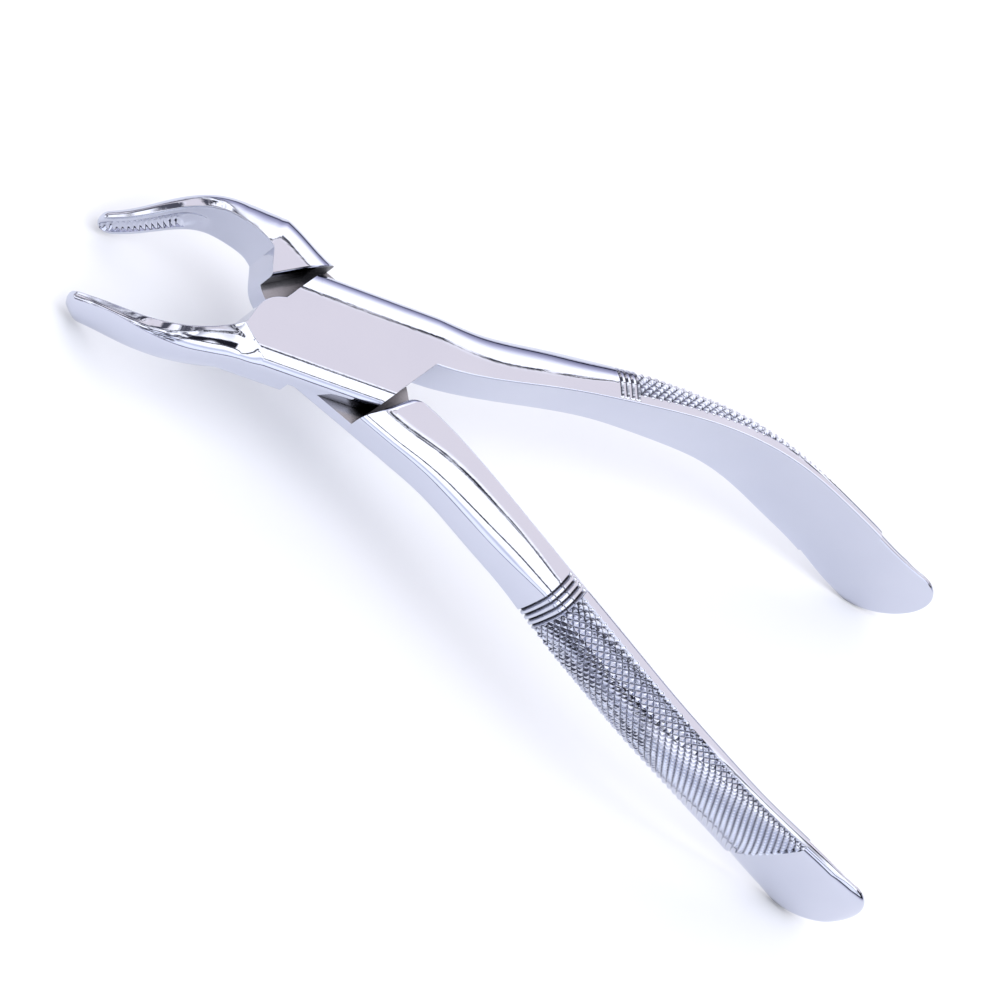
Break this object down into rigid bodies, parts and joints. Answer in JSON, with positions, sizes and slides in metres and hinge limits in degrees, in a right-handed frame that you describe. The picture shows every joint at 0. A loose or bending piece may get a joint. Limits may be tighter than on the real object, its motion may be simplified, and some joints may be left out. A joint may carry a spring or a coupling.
{
  "type": "dental extraction forceps",
  "caption": "Dental extraction forceps: two crossed forged halves with curved serrated beaks and knurled handles on a flush pivot.",
  "frame": {"origin": "pivot axis, at the flat underside of the lap joint", "axes": "+Z along the pivot axis, up through the joint; +X towards the handles; the beaks point to -X and the open halves stand either side of the XZ plane"},
  "size_m": [0.1815, 0.0712, 0.0402],
  "materials": {
    "polished_steel": "mirror polished",
    "rivet_steel": "polished flush"
  },
  "bodies": {
    "top": {"top_half": "polished_steel", "pivot_rivet": "rivet_steel"},
    "bottom": {"bottom_half": "polished_steel"}
  },
  "joints": [
    {"name": "pivot", "type": "hinge", "parent": "top", "child": "bottom", "pos_m": [0, 0, 0], "axis": [0, 0, 1], "range_deg": [-16, 19]}
  ]
}
